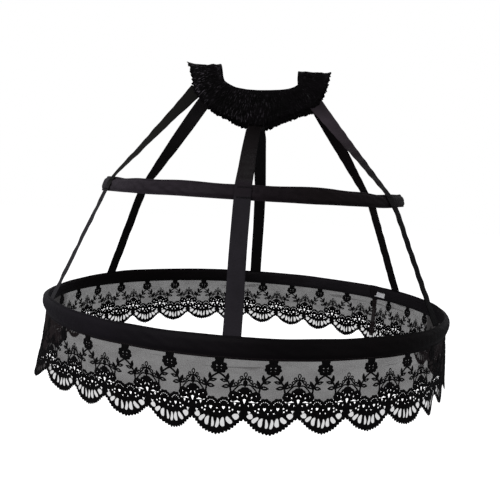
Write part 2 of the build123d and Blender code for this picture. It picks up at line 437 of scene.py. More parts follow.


# each ribbon's colour with painted light, shade and highlights, darker or paler along it as the light falls:
# metres down from the waist, then red, green and blue in ten-thousandths
RIBBON_PAINTED_LIGHT = {
    "strap_front": ((0, 40, 28, 31), (0.10, 80, 60, 65), (0.232, 92, 70, 78), (0.243, 170, 128, 165),
                    (0.264, 180, 140, 175), (0.271, 225, 200, 245), (0.46, 240, 210, 260)),
    "strap_front_left": ((0, 85, 78, 70), (0.12, 125, 117, 98), (0.232, 110, 103, 95), (0.243, 240, 210, 240),
                         (0.264, 260, 230, 260), (0.271, 380, 360, 400), (0.46, 400, 380, 420)),
    "strap_front_right": ((0, 140, 110, 130), (0.045, 480, 375, 455), (0.10, 330, 255, 305),
                          (0.16, 120, 98, 108), (0.232, 66, 52, 56), (0.264, 85, 62, 68),
                          (0.271, 12, 10, 11), (0.46, 8, 6, 7)),
    "strap_back_left": ((0, 80, 64, 74), (0.04, 190, 165, 178), (0.18, 150, 128, 134), (0.23, 110, 95, 100),
                        (0.27, 70, 60, 64), (0.46, 60, 50, 54)),
    "strap_back_right": ((0, 50, 38, 42), (0.12, 130, 98, 106), (0.23, 110, 86, 92), (0.46, 60, 48, 50)),
    "strap_back": ((0, 90, 84, 92), (0.22, 95, 84, 92), (0.46, 55, 44, 48)),
}
RIBBONS = {name: ribbon_material("grosgrain_" + name, stops) for name, stops in RIBBON_PAINTED_LIGHT.items()}
# the casings' colours with painted light and shade, paler at the front left where the key light falls, darker
# at the front right, and a painted highlight on the middle casing: fraction of a turn from the seam, then
# red, green and blue in ten-thousandths
HEM_SATIN = casing_material("casing_satin", TAU * HEM_R, (
    (0.0, 190, 165, 195), (0.09, 165, 140, 168), (0.15, 65, 52, 60), (0.24, 30, 17, 19), (0.35, 40, 28, 30),
    (0.42, 135, 120, 150), (0.50, 135, 116, 155), (0.58, 85, 70, 92), (0.66, 45, 33, 42), (0.74, 20, 13, 14),
    (0.86, 24, 15, 17), (0.93, 120, 100, 120), (1.0, 190, 165, 195)))
MID_SATIN = casing_material("casing_satin_middle", TAU * MID_R, (
    (0.0, 60, 45, 52), (0.22, 100, 80, 95), (0.36, 230, 200, 235), (0.42, 260, 225, 260),
    (0.50, 450, 370, 460), (0.58, 270, 210, 270), (0.63, 150, 108, 142), (0.70, 85, 58, 65),
    (0.86, 110, 78, 88), (1.0, 60, 45, 52)), mottle=0.55)
RUCHED = ruched_material()
LACE = lace_material()
NET = net_material("lace_net_cloth", 0.94, 0.745, folds=0.08, bunched=0.30)
FAN_NET = net_material("lace_fan_net_cloth", 0.60, 0.32, bunched=0.7)
SEAM_NET = net_material("lace_seam_cloth", 0.99, 0.90)
THREAD = thread_material("sewing_thread", ink(60, 55, 65))
LABEL = label_material()


# ---------------- stitches
STITCH_SIDES = 6
STITCH_RINGS = ((0.0, 0.35), (0.25, 1.0), (0.75, 1.0), (1.0, 0.35))   # (place along it, share of its width)


def stitches(name, rows, length, gap, width):
    """Small raised stitches, sized in mm. Each row is a dense line of points and its outward normals."""
    length, gap, width = length * MM, gap * MM, width * MM
    verts, faces = [], []
    ring = [(math.cos(a), math.sin(a)) for a in np.linspace(0, TAU, STITCH_SIDES, endpoint=False)]
    for pts, nrm in rows:
        step = np.linalg.norm(np.diff(pts, axis=0), axis=1)
        s = run_length(pts)
        count = int(s[-1] / (length + gap))
        for k in range(count):
            start = (k + 0.5) * s[-1] / count - length / 2
            base = len(verts)
            for f, size in STITCH_RINGS:
                at = start + f * length
                p = np.array([np.interp(at, s, pts[:, c]) for c in range(3)])
                n = np.array([np.interp(at, s, nrm[:, c]) for c in range(3)])
                i = min(max(np.searchsorted(s, at) - 1, 0), len(pts) - 2)
                side = np.cross((pts[i + 1] - pts[i]) / max(step[i], 1e-9), n)
                lift = math.sin(f * math.pi) * width * 0.35
                for cx, cy in ring:
                    verts.append(p + side * (cx * width / 2 * size) + n * (cy * width / 2 * size + lift))
            for q in range(len(STITCH_RINGS) - 1):
                low, high = base + q * STITCH_SIDES, base + (q + 1) * STITCH_SIDES
                for r in range(STITCH_SIDES):
                    r2 = (r + 1) % STITCH_SIDES
                    faces.append((low + r, low + r2, high + r2, high + r))
            faces.append(tuple(base + r for r in reversed(range(STITCH_SIDES))))
            faces.append(tuple(high + r for r in range(STITCH_SIDES)))
    new_mesh(name, verts, faces, THREAD)


# ---------------- hoop casings
def table_mm(table):
    """A function of azimuth, in metres, from a table of (degrees, mm)."""
    return lambda theta: around(table, theta) * MM


def baggy(theta):
    """The middle casing's upper edge stands fuller at both ends and beside the front strap."""
    rise = 0
    for azimuth, width, height in ((182, 0.42, 3.8), (2, 0.32, 2.6), (-70, 0.20, 2.3), (-38, 0.14, -2.6),
                                   (-112, 0.14, 1.6)):
        away = (theta - rad(azimuth) + math.pi) % TAU - math.pi
        rise = rise + height * np.exp(-(away / width) ** 2)
    return rise * MM


# (degrees, mm) round the ring: where the lower edge of the middle casing is fuller, and where it bulges
MID_SAG = ((10, 3.4), (40, 0), (200, 0), (320, 0), (345, 3.4))
MID_BULGE = ((0, 1.2), (20, 0), (160, 0), (180, 2), (200, 0), (340, 0))
# how the hem band's upper and lower edges wander
HEM_RISE = ((5, 0), (138, 0.5), (152, -1.5), (165, -4), (178, -5.5), (190, -5.5), (200, -3), (212, 0),
            (300, 0), (325, -3.0), (345, -2.5))
HEM_SAG = ((5, 0), (300, 0), (325, -1.5), (345, -1))
# how far the hem stands outside its hoop
HEM_BULGE = ((0, 7.5), (9, 9.5), (18, 5), (30, 1), (45, 0), (135, 0), (150, 1), (165, 4), (180, 7), (190, 7),
             (202, 3), (215, 1), (235, 0), (310, 0), (330, 1), (345, 3.5))
# how far its lower edge, and the lace's top with it, is drawn in
HEM_TUCK = ((0, 3.5), (15, 1.5), (30, 0), (160, 0), (178, 3), (190, 4.5), (203, 3.5), (215, 1), (230, 0),
            (330, 0), (348, 2.5))
SEAM_S = 0.84                       # the rows of stitching, as a share of the way to the edge


class Casing:
    """A wrinkled cloth tube over a hoop. s runs from -1 at its lower edge to 1 at its upper edge."""

    def __init__(self, radius, z, height, lean, seed, wrinkle, edge, rise, sag, bulge, tuck=lambda theta: 0):
        self.radius, self.z, self.lean, self.seed = radius, z, lean, seed
        self.wrinkle, self.edge = wrinkle * MM, edge * MM
        self.rise, self.sag, self.bulge, self.tuck = rise, sag, bulge, tuck
        self.slant = height / math.cos(lean)

    def surface(self, theta, s, side):
        """Its outer face (side 1) or inner face (side -1)."""
        rise = self.edge * ripple(theta, self.seed, 5, 26, 0.6) + self.rise(theta)
        fall = 0.4 * self.edge * ripple(theta, self.seed + 1, 6, 30, 0.6) + self.sag(theta)
        h = s * self.slant / 2 + np.where(s > 0, s * rise, -s * fall)
        # each face has folds of its own
        folds = (ripple(theta + 0.10 * s, self.seed + 2 + (side < 0), 16, 90, 0.45) * 0.65
                 + ripple(theta - 0.22 * s, self.seed + 5 + (side < 0), 60, 170, 0.3) * 0.35)
        fullest = (0.35 + 0.65 * np.cos(np.clip(s, -1, 1) * math.pi / 2)) * (0.4 + 0.6 * (s + 1.3) / 2.3)
        push = 2.0 * MM * (1 - smooth(np.abs(s), 0.45, 0.86)) + 0.55 * MM + self.wrinkle * folds * fullest
        push = push - 0.25 * MM * np.exp(-((np.abs(s) - SEAM_S) / 0.03) ** 2)
        push = np.maximum(push, 0.3 * MM) * np.sqrt(np.clip(1.0005 - s ** 8, 0, 1))
        swell = 0.5 + 0.5 * np.cos(math.pi * np.clip((s - 0.1) / 1.1, -1, 1))
        push = push + np.where(side > 0, self.bulge(theta) * swell, 0.0)
        drawn_in = self.tuck(theta) * smooth(-s, 0.1, 1.0)
        r = self.radius - h * math.sin(self.lean) + side * push * math.cos(self.lean) - drawn_in
        z = self.z + h * math.cos(self.lean) + side * push * math.sin(self.lean)
        return np.stack([r * np.cos(theta), r * np.sin(theta), z], -1)

    def build(self, name, node, columns, material):
        rows = 17
        theta = np.linspace(0, TAU, columns, endpoint=False) + rad(SEAM_AZ)
        s_up = np.sin(np.linspace(-math.pi / 2, math.pi / 2, rows))
        loop_s = np.concatenate([s_up, s_up[::-1][1:-1]])
        side = np.concatenate([np.ones(rows), -np.ones(rows - 2)])
        T, S = np.meshgrid(theta, loop_s, indexing="ij")
        D = np.broadcast_to(side, T.shape)
        cloth = cloth_map((T - theta[0]) * self.radius, S * self.slant / 2 + (D < 0) * 0.05, T.shape)
        return new_mesh(name, self.surface(T, S, D), grid_faces(*T.shape, True, True), material,
                        cloth, node)

    def seam_rows(self, levels, count):
        """Lines for stitching right round it, at levels of (s, side)."""
        rows = []
        for s, side in levels:
            t = np.linspace(0, TAU, count)
            p = self.surface(t, np.full_like(t, s), np.full_like(t, side))
            out = np.stack([np.cos(t), np.sin(t), 0.25 + 0 * t], -1) * side
            out /= np.linalg.norm(out, axis=1, keepdims=True)
            rows.append((p + out * 0.1 * MM, out))
        return rows


mid_casing = Casing(MID_R, MID_Z, MID_H, MID_LEAN, 11, 1.35, 0.8, baggy, table_mm(MID_SAG),
                    table_mm(MID_BULGE))
hem_casing = Casing(HEM_R, HEM_Z, HEM_H, HEM_LEAN, 31, 0.55, 0.5, table_mm(HEM_RISE), table_mm(HEM_SAG),
                    table_mm(HEM_BULGE), table_mm(HEM_TUCK))
mid_casing.build("mid_hoop_cloth", "mid_hoop_casing", 1100, MID_SATIN)
hem_casing.build("hem_band_cloth", "bottom_hoop_casing", 1200, HEM_SATIN)
outer_seams, inner_seams = [(-SEAM_S, 1), (SEAM_S, 1)], [(-SEAM_S, -1), (SEAM_S, -1)]
stitches("mid_hoop_stitches", mid_casing.seam_rows(outer_seams + inner_seams, 900), 2.3, 0.9, 0.45)
stitches("hem_band_stitches", hem_casing.seam_rows(outer_seams, 1100), 2.4, 0.9, 0.45)
stitches("hem_inside_stitches", hem_casing.seam_rows(inner_seams, 1100), 2.4, 0.9, 0.45)


def band_overlap():
    """The overlap that closes the hem band, wrapped round its edges, and its stitching."""
    reach, bend_from = rad(1.7), rad(1.45)
    lift, edge_s = 0.9 * MM, 0.97
    theta = np.linspace(rad(SEAM_AZ) - reach, rad(SEAM_AZ) + reach, 40)
    T, S = np.meshgrid(theta, np.linspace(-1.03, 1.03, 21), indexing="ij")
    shells = []
    for side in (1, -1):
        P = hem_casing.surface(T, np.clip(S, -edge_s, edge_s), side)
        edge = smooth(np.abs(T - rad(SEAM_AZ)), reach, bend_from)
        R = np.hypot(P[..., 0], P[..., 1]) + side * (0.25 * MM + lift * edge)
        wrapped = np.where(np.abs(S) > edge_s, np.sign(S) * 0.8 * MM, 0)
        shells.append(np.stack([R * np.cos(T), R * np.sin(T), P[..., 2] + wrapped], -1))
    shell_mesh("hem_band_join", *shells, False, HEM_SATIN, "casing_cloth", theta * HEM_R,
               np.linspace(0, 0.06, 42))
    rows = []
    for azimuth in (SEAM_AZ - 1.3, SEAM_AZ + 1.3):
        for side in (1, -1):
            v = np.linspace(-0.9, 0.9, 24)
            t = np.full_like(v, rad(azimuth))
            p = hem_casing.surface(t, v, np.full_like(v, side))
            out = np.stack([np.cos(t), np.sin(t), 0 * t], -1) * side
            rows.append((p + out * 1.25 * MM, out))
    stitches("hem_join_stitches", rows, 2.2, 0.8, 0.5)


band_overlap()

# ---------------- straps
STRAP_W, STRAP_T = 25 * MM, 0.8 * MM
TAB = 12 * MM                       # the strap's top end, sewn inside the waistband
ARCH_C = 116 * MM                   # the arch over the hips, from its widest level up
ARCH_Z = BAND_HI[2] - ARCH_C
ARCH_A = BAND_HI[1]
BAND_T = 3.4 * MM
# how each strap slants across the middle hoop (degrees round it, at the casing's upper and lower edge)
SLANT = {"strap_front_right": (-4.5, -0.6), "strap_back_right": (3.2, 0.4), "strap_front_left": (2.4, 0.2),
         "strap_back_left": (-1.6, 0.2)}
# how early it turns from the waistband's face to the hoop's: under 1 is early
TURN_POWER = {"strap_front_right": 0.55, "strap_front_left": 0.55, "strap_back_right": 0.75}
# how far the two centre straps hang to one side, in mm, and how much more their upper runs do
DRIFT = {"strap_front": (-2.2, -1.6), "strap_back": (2.2, 0)}


def wall_depth(z):
    """Half the waistband's depth at height z, to the inside of its wall."""
    up = max(0.0, z - ARCH_Z) / (ARCH_C - BAND_T)
    return (ARCH_A - BAND_T) * math.sqrt(1 - up * up)


def between(p, q, f):
    return p + (q - p) * f


def strap_line(node, azimuth, x_top, z_top, on_casing):
    """The strap's middle line from tab to hem, distance along it, its directions, and its upper length."""
    out = np.array([math.cos(azimuth), math.sin(azimuth), 0])
    along = np.array([-math.sin(azimuth), math.cos(azimuth), 0])
    front = -1 if math.sin(azimuth) < 0 else 1

    def tab_point(x, z):
        return np.array([x, front * (wall_depth(z) - 0.95 * MM), z])

    top, bottom = on_casing(MID_H / 2 + STRAP_T), on_casing(-MID_H / 2)
    end = out * HEM_TOP_R + np.array([0, 0, HEM_HI[2] - 1.5 * MM])
    entry = tab_point(x_top, z_top)
    heading = (entry - top) * [1, 0, 1]
    heading /= np.linalg.norm(heading)
    tip = tab_point(x_top + TAB * heading[0], z_top + TAB * heading[2])
    across = np.cross(np.cross([1, 0, 0], tip - entry), tip - entry)
    across /= np.linalg.norm(across)
    if across @ along < 0:
        across = -across
    # straight runs with soft bends
    keys = [tip, between(tip, entry, 0.75)]
    keys += [between(entry, top, f) for f in (0.04, 0.2, 0.4, 0.6, 0.8, 0.96)]
    keys += [between(top, bottom, f) for f in (0.25, 0.85)]
    keys += [between(bottom, end, f) for f in (0.06, 0.25, 0.5, 0.75, 0.94)] + [end]
    line = catmull(keys, [4, 4, 14, 14, 14, 14, 12, 8, 8, 6, 12, 14, 14, 12, 3])
    length = run_length(line)
    tangent = unit(np.gradient(line, axis=0))
    upper = np.linalg.norm(top - entry)
    turn = np.clip((length - TAB) / upper, 0, 1)[:, None] ** TURN_POWER.get(node, 1.0)
    widths = across * (1 - turn) + along * turn
    widths = unit(widths - tangent * np.sum(widths * tangent, 1, keepdims=True))
    normal = np.cross(widths, tangent)
    if normal[len(normal) // 2 + 20] @ out < 0:
        normal = -normal
    aside, more_above = DRIFT.get(node, (0, 0))
    ease = smooth(length, 0, 0.03) * smooth(length[-1] - length, 0, 0.15)
    line[:, 0] += (aside + more_above * (1 - smooth(length, 0.08, 0.24))) * MM * ease
    return line, length, widths, normal, upper + TAB


def strap(node, azimuth, x_top, z_top, seed):
    """One ribbon, and the lines of its bar tacks where it crosses the middle hoop."""
    a = rad(azimuth)
    out = np.array([math.cos(a), math.sin(a), 0])
    along = np.array([-math.sin(a), math.cos(a), 0])
    off = CASING_T / 2 + (0.35 * MM + STRAP_T / 2) / math.cos(MID_LEAN)
    at_top, at_bottom = SLANT.get(node, (0, 0))

    def on_casing(dz):
        """The strap's middle, dz above the middle casing's own middle."""
        f = np.clip(dz / MID_H + 0.5, 0, 1)
        b = a + rad(at_bottom + (at_top - at_bottom) * f)
        r = MID_R - dz * math.tan(MID_LEAN) + off
        return np.array([math.cos(b) * r, math.sin(b) * r, MID_Z + dz])

    line, length, widths, normal, upper = strap_line(node, a, x_top * MM, z_top * MM, on_casing)
    # cross-section of the ribbon: flat, with thicker woven edges and a very slight cup
    w = np.linspace(-1, 1, 13)
    thick = STRAP_T / 2 * (0.75 + 0.35 * smooth(np.abs(w), 0.86, 0.95))
    thick = thick * np.sqrt(np.clip(1.02 - np.abs(w) ** 20, 0, 1))
    rng = np.random.default_rng(seed)
    wave = 0.16 * MM * random_waves(rng, TAU * length / (70 * MM), (0.6, 1.1, 1.9, 3.1))
    edge_wave = 0.12 * MM * random_waves(rng, TAU * length / (55 * MM), (0.8, 1.7, 2.9))
    free = np.minimum(smooth(length, 5 * MM, 40 * MM), smooth(length[-1] - length, 0, 30 * MM))
    free = free * (1 - np.exp(-((length - upper - MID_H / 2) / (16 * MM)) ** 2))
    cup = 0.25 * MM * (w ** 2 - 0.4)
    bow = free[:, None] * (wave[:, None] + edge_wave[:, None] * w - cup)
    mid = line[:, None] + widths[:, None] * (w * STRAP_W / 2)[:, None] + normal[:, None] * bow[..., None]
    skin = normal[:, None] * thick[:, None]
    obj = shell_mesh(node + "_ribbon", mid + skin, mid - skin, False, RIBBONS[node], "ribbon", length,
                     np.concatenate([w, w[::-1]]) * STRAP_W / 2, node)
    slope = np.array([0, 0, 1.0]) * math.cos(MID_LEAN) - out * math.sin(MID_LEAN)
    outward = np.cross(along, slope) * np.sign(np.cross(along, slope) @ out)
    rows = []
    for dz in (MID_H / 2 - 3.5 * MM, -MID_H / 2 + 3.5 * MM):
        for shift in (-0.9, 0.0, 0.9):
            places = np.linspace(-1, 1, 14)[:, None] * (STRAP_W - 3 * MM) / 2
            p = on_casing(dz) + along * places + slope * shift * MM + outward * 0.75 * MM
            rows.append((p, np.broadcast_to(outward, p.shape)))
    return rows


CENTRE_Z = BAND_LO[2] / MM - 1.2
tack_rows = []
for node, azimuth, x, z, seed in (
        ("strap_front", -90, 0, CENTRE_Z, 101), ("strap_back", 90, 0, CENTRE_Z, 102),
        ("strap_front_left", -150, -114.5, -10.5, 103), ("strap_front_right", -30, 104, -21, 104),
        ("strap_back_left", 150, -110, -17, 105), ("strap_back_right", 30, 113, -17, 106)):
    tack_rows += strap(node, azimuth, x, z, seed)
stitches("strap_tacks", tack_rows, 2.2, 0.3, 0.5)


# ---------------- ruched waistband
# the band's two edges in front view, from the middle (knot 0) to the fold over the hip (knot 1): knot, x, z,
# in mm beside and above the hem's middle
LEFT_HEM = ((0, 0, 3.5), (.14, 20, 3.8), (.27, 39.6, 6.5), (.36, 50, 11), (.45, 60, 17), (.53, 66, 25),
            (.68, 70, 36), (1, 72, 50))
LEFT_FRILL = ((0, 0, -60.5), (.08, 19, -58), (.16, 38, -52.5), (.27, 63.5, -40), (.36, 86, -30),
              (.44, 102, -20), (.50, 109, -10), (.56, 115, 2), (.64, 118.5, 14), (.72, 121, 25),
              (.83, 126, 38), (1, 134, 50))
RIGHT_HEM = ((0, 0, 3.5), (.14, 20, 4.7), (.27, 39.6, 6.5), (.36, 52, 9), (.44, 62, 13), (.53, 69, 19),
             (.62, 68, 28), (.75, 66.5, 38), (1, 66.5, 50))
RIGHT_FRILL = ((0, 0, -61), (.06, 14.6, -58), (.13, 32, -48.5), (.18, 44.7, -42), (.26, 62, -35),
               (.31, 72, -30), (.38, 87.4, -24), (.45, 102.5, -20), (.51, 110, -10), (.56, 114.5, 0),
               (.64, 119.5, 14), (.80, 123.5, 34), (1, 125, 50))
BAND_COLUMNS = 1640
BAND_V = np.concatenate([np.linspace(0, 0.13, 6), np.linspace(0.17, 0.79, 11),
                         [0.82, 0.85, 0.88, 0.91, 0.94, 0.97, 0.99, 1.0]])
FRILL_V = 0.86                      # where the last row of shirring ends and the free heading starts
BAND_DEPTH = 0.07                   # the cloth's depth, for the materials


def edge_curves(table):
    """Smooth x and arch angle along one edge, as functions of the knot value."""
    t, x, z = np.array(table, float).T
    phi = np.degrees(np.arcsin(np.clip((z + 66) / 116, -1, 1)))
    fine = np.linspace(-1, 2, 3001)
    a = np.abs(fine)
    back = np.where(a > 1, 2 - a, a)
    xs = np.interp(back, t, x) * np.where(fine < 0, -1, 1)
    angles = np.interp(back, t, phi)
    angles = np.where(a > 1, 180 - angles, angles)
    keep = slice(200, -200)
    return fine[keep], softened(xs, 111)[keep], softened(angles, 111)[keep]


EDGES = {side: (edge_curves(hem), edge_curves(frill)) for side, hem, frill in
         ((-1, LEFT_HEM, LEFT_FRILL), (1, RIGHT_HEM, RIGHT_FRILL))}


def band_mid(knot, sx, sy, v):
    """Middle surface of the waistband. v runs from 0 at the hem to 1 at the frill's edge."""
    knot, sx, sy, v = np.broadcast_arrays(knot, sx, sy, v)
    x, phi = np.zeros(v.shape), np.zeros(v.shape)
    for side, ((knots, *hem), (_, *frill)) in EDGES.items():
        here_x, here_phi = (np.interp(knot, knots, a) * (1 - v) + np.interp(knot, knots, b) * v
                            for a, b in zip(hem, frill))
        x, phi = np.where(sx == side, here_x, x), np.where(sx == side, here_phi, phi)
    w = np.clip(v * 2 - 1, -1, 1)
    over = smooth(phi, 58, 90)          # 1 on top of the fold over the hip
    hollow, curl = 1 - w ** 2, np.clip(w, 0, 1) ** 3
    fold = np.where(sx < 0, 3.4 - 5.2 * hollow + 2.0 * curl, -3.2 - 3.2 * hollow + 1.8 * curl) * MM
    phi = np.radians(phi)
    y = (ARCH_A - BAND_T / 2) * np.cos(phi)
    z = ARCH_Z + (ARCH_C - BAND_T / 2) * np.sin(phi) + over * fold
    return np.stack([sx * x * MM, sy * y, z], -1)


def quarters(turn):
    """Knot value and the signs of x and y, for places counted in quarters of the way round."""
    q = np.minimum(turn.astype(int), 3)
    f = turn - q
    return (np.where(q % 2 == 0, f, 1 - f), np.where((q == 0) | (q == 1), 1, -1),
            np.where((q == 0) | (q == 3), -1, 1))


def band_loop(count, v_rows):
    """Points round the whole waistband: middle surface, outward normals, and distance along it."""
    fine = np.linspace(0, 4, 4001)
    s = run_length(band_mid(*quarters(fine), np.full_like(fine, 0.55)))
    s_even = np.linspace(0, s[-1], count, endpoint=False)
    knot, sx, sy = quarters(np.interp(s_even, s, fine))
    T, V = np.meshgrid(knot, v_rows, indexing="ij")
    P = band_mid(T, sx[:, None], sy[:, None], V)
    N = unit(np.cross(np.roll(P, -1, 0) - np.roll(P, 1, 0), np.gradient(P, axis=1)))
    outward = np.sign(np.sum(N * (P - [0, 0, ARCH_Z]), -1)).mean()
    N = N * np.where(outward < 0, -1, 1)
    for _ in range(6):
        N = (N + np.roll(N, 1, 0) + np.roll(N, -1, 0)) / 3
    return P, N / np.linalg.norm(N, axis=-1, keepdims=True), s_even, s[-1]


def gathers(a, v, seed):
    """Height of the irregular small gathers, 0 in the creases to about 1 on the puffs."""
    rng = np.random.default_rng(seed)
    drift = random_waves(rng, a, range(9, 60)) * 0.35
    lean = random_waves(rng, a, range(4, 22)) * 0.45
    phase = a * 96 + drift + lean * (v - 0.5) * 2.2
    fork = random_waves(rng, a, range(20, 70)) * 0.16
    mix = np.clip(0.5 + fork, 0, 1)
    size = 0.75 + 0.25 * np.cos(7 * a + 1) * np.cos(31 * a + 2)
    crease = np.abs(np.cos(phase)) * mix + np.abs(np.cos(phase * 1.5 + 1.3 + drift)) * (1 - mix)
    return (1 - crease ** 1.6) * size


def band_push(S, V, side):
    """Distance of the waistband's face from its middle surface."""
    seed = 51 if side > 0 else 52
    a = TAU * S / BAND_LENGTH
    puff = gathers(a, V, seed)
    rng = np.random.default_rng(seed + 4)
    counts = range(12, 44)
    clumps = random_waves(rng, a, counts, [4 * V * math.sin(k) for k in counts]) * 0.13
    body = smooth(V, 0.10, 0.2) * (1 - smooth(V, 0.74, 0.84))
    hem = 1 - smooth(V, 0.10, 0.16)
    frill = smooth(V, FRILL_V, 0.9)
    puffs = body * (0.55 + 0.45 * np.cos((V - 0.31) / 0.32 * TAU))
    counts = range(40, 190, 5)
    rumple = random_waves(rng, a, counts, [m * 6.3 * V for m in [1, 2, 3, 4, 5, 2, 3, 4, 1, 5] * 3]) * 0.16
    h = 1.25 * body + 0.95 * hem + 0.45 * frill + 0.75 * (1 - body - hem - frill)
    h = h + body * (0.9 * puff + 0.5 * clumps + 0.55 * rumple) + 0.35 * puffs * puff
    h = h + (hem * 0.22 + frill * 0.35) * puff
    ends = np.sqrt(np.clip(1 - np.abs(2 * V - 1) ** 40, 0, 1)) * 0.9 + 0.1
    return np.maximum(h, 0.22) * MM * ends


def band_frill(S, V):
    """Waves of the free heading below the last row of shirring, shared by both faces: out, and down."""
    a = TAU * S / BAND_LENGTH
    rng = np.random.default_rng(58)
    slow = random_waves(rng, a, range(5, 25)) * 0.5
    quick = random_waves(rng, a, range(5, 45)) * 0.4
    free = smooth(V, FRILL_V, 1.0)
    wave = np.sin(a * 68 + slow * 1.5) * 0.65 + np.sin(a * 111 + quick) * 0.45
    drop = np.sin(a * 43 + quick * 1.3) * 0.5 + np.sin(a * 89 + slow) * 0.5
    drop = drop + np.cos(a * 150 + quick * 2) * 0.35
    return free * wave * 2.1 * MM, free * drop * 1.5 * MM


P, N, S, BAND_LENGTH = band_loop(BAND_COLUMNS, BAND_V)
S2, V2 = np.meshgrid(S, BAND_V, indexing="ij")
wave, drop = band_frill(S2, V2)
middle = P + N * (wave - 0.8 * MM * smooth(V2, FRILL_V, 1.0))[..., None]
middle = middle + unit(np.gradient(P, axis=1)) * drop[..., None]
waistband = shell_mesh("waistband", middle + N * band_push(S2, V2, 1)[..., None],
                       middle - N * band_push(S2, V2, -1)[..., None], True, RUCHED, "ruched_cloth", S,
                       np.concatenate([BAND_V, 2.2 - BAND_V[::-1]]) * BAND_DEPTH, "waistband_casing")

# the elastic inside it, following the band's own curve
ELASTIC_V = np.linspace(0.2, 0.74, 9)
P, N, S, _ = band_loop(420, ELASTIC_V)
thin = 0.4 * MM * np.sqrt(np.clip(1.05 - np.abs(np.linspace(-1, 1, 9)) ** 8, 0, 1))[None, :, None]
elastic = shell_mesh("waist_elastic_strip", P + N * thin, P - N * thin, True, elastic_material(),
                     "elastic_webbing", S, np.concatenate([ELASTIC_V, ELASTIC_V[::-1]]) * BAND_DEPTH,
                     "waist_elastic")


def band_rows(levels):
    """Lines for stitching right round the waistband, at levels of (v, side)."""
    rows = []
    for v, side in levels:
        P, N, S, _ = band_loop(1200, np.array([v - 0.01, v, v + 0.01]))
        h = band_push(S[:, None], np.array([[v]]), side)[:, 0]
        out = side * N[:, 1]
        pts = P[:, 1] + out * (h + 0.05 * MM)[:, None]
        rows.append((np.vstack([pts, pts[:1]]), np.vstack([out, out[:1]])))
    return rows


stitches("waistband_stitches", band_rows([(0.85, 1), (0.85, -1), (0.105, 1), (0.105, -1), (0.125, 1)]),
         2.1, 1.2, 0.45)


# ---------------- lace
LACE_TOP = HEM_LO[2]
LACE_DEPTH = 99.0                   # in mm, as is all that is drawn of the lace
REPEATS = 32
PITCH = TAU * LACE_R / REPEATS / MM
HALF = PITCH / 2
# azimuth of the flowers that show, counted along the lace from the front left; they are closer at its seam
FLOWER_AZ = ((0, 234.4), (1, 246), (2, 257), (3, 267.8), (4, 279.1), (5, 290.6), (6, 302.1), (7, 313.8),
             (12, 373.2), (13, 384), (14, 394.2), (15, 400.7), (16, 413), (17, 424.2), (18, 435.4),
             (19, 446.8), (21, 470), (22, 481.4), (23, 492.9), (24, 504.1), (25, 515.2), (26, 525.7),
             (31, 584.0), (32, 594.4))
# sideways swing of the lace's lower edge (mm in x) and its stretch, by azimuth
LACE_SWAY = ((0, -3), (20, -3), (40, -2), (90, 0), (140, -2), (165, -3), (180, -5), (195, -5), (203, -9),
             (209, -17), (217, -20), (221, -8), (226, 0), (231, 0), (240, 3), (248, 10), (257, 10), (263, 0),
             (268, 0), (285, 1.5), (291, 0), (302, -1), (308, 4), (313, 2), (320, 10), (328, 7), (338, 1),
             (350, 1))
LACE_LONG = ((0, 1.03), (20, 1), (60, 0.97), (140, 0.95), (180, 1), (200, 1.03), (207, 1.01), (213, 0.93),
             (219, 0.91), (225, 0.97), (231, 1.03), (236, 1.03), (241, 0.97), (257, 0.96), (262, 1.04),
             (268, 1.05), (274, 1.04), (279, 1.02), (285, 0.96), (291, 0.985), (297, 1.02), (302, 1),
             (308, 1.07), (314, 1.05), (320, 1.1), (328, 1.06), (338, 1.05), (350, 1.06))
# lower outline of one scallop, from its lowest point (u = 0) to the notch: u, v
SCALLOP = ((0, 99), (8, 97), (15, 94.5), (20, 91.5), (25, 87), (29, 83), (32, 80.5), (34.95, 79.5))
# the round bumps along the top of the border: centre and radius
BUMPS = ((HALF, 47, 11), (-HALF, 47, 11), (HALF - 14.5, 48.5, 7), (14.5 - HALF, 48.5, 7), (8.7, 60, 9.8),
         (-8.7, 60, 9.8))


def lace_azimuth(k):
    """Azimuth in degrees of position k along the lace, counted in repeats."""
    turns = np.floor(k / REPEATS)
    flower, azimuth = np.array(FLOWER_AZ).T
    return np.interp(k - REPEATS * turns, flower, azimuth) + 360 * turns


def lace_point(k, v, push):
    """Place of a point k repeats along and v mm below the band, push metres out of the net's surface."""
    az = np.radians(lace_azimuth(k))
    down = np.clip(v / LACE_DEPTH, 0, 1)
    grow = down ** 1.3
    v = np.where(v > 0, v * (1 + (around(LACE_LONG, az) - 1) * down), v)
    wave = sum(size * np.cos(count * az + phase) for size, count, phase in
               ((2.6, 7, 0.6), (2.1, 11, 2.0), (1.5, 19, 1.0), (1.0, 31, 0.4), (0.5, 32, 0.5))) * grow
    flute = 0.35 * np.cos(67 * az + v / 16) * np.minimum(down * 3, 1)
    r = LACE_R + push + (wave + flute - around(HEM_TUCK, az) * (1 - down) ** 1.5) * MM
    x = r * np.cos(az) + around(LACE_SWAY, az) * MM * down ** 1.5
    z = LACE_TOP + (1.2 * np.cos(9 * az + 1) * grow + 0.9 * np.cos(23 * az) * grow - v) * MM
    return np.stack([x, r * np.sin(az), z], -1)


# the drawing tools below give closed outlines as arrays of (u, v)
def ring(cx, cy, rx, ry=None, n=22, turn=0.0, petals=0, depth=0.0):
    """An ellipse, with petals if asked."""
    ry = rx if ry is None else ry
    a = np.linspace(0, TAU, n, endpoint=False)
    g = 1 + depth * (np.abs(np.cos(petals * a / 2)) - 0.6) if petals else 1
    x, y = rx * g * np.cos(a), ry * g * np.sin(a)
    c, s = math.cos(rad(turn)), math.sin(rad(turn))
    return np.stack([cx + x * c - y * s, cy + x * s + y * c], -1)


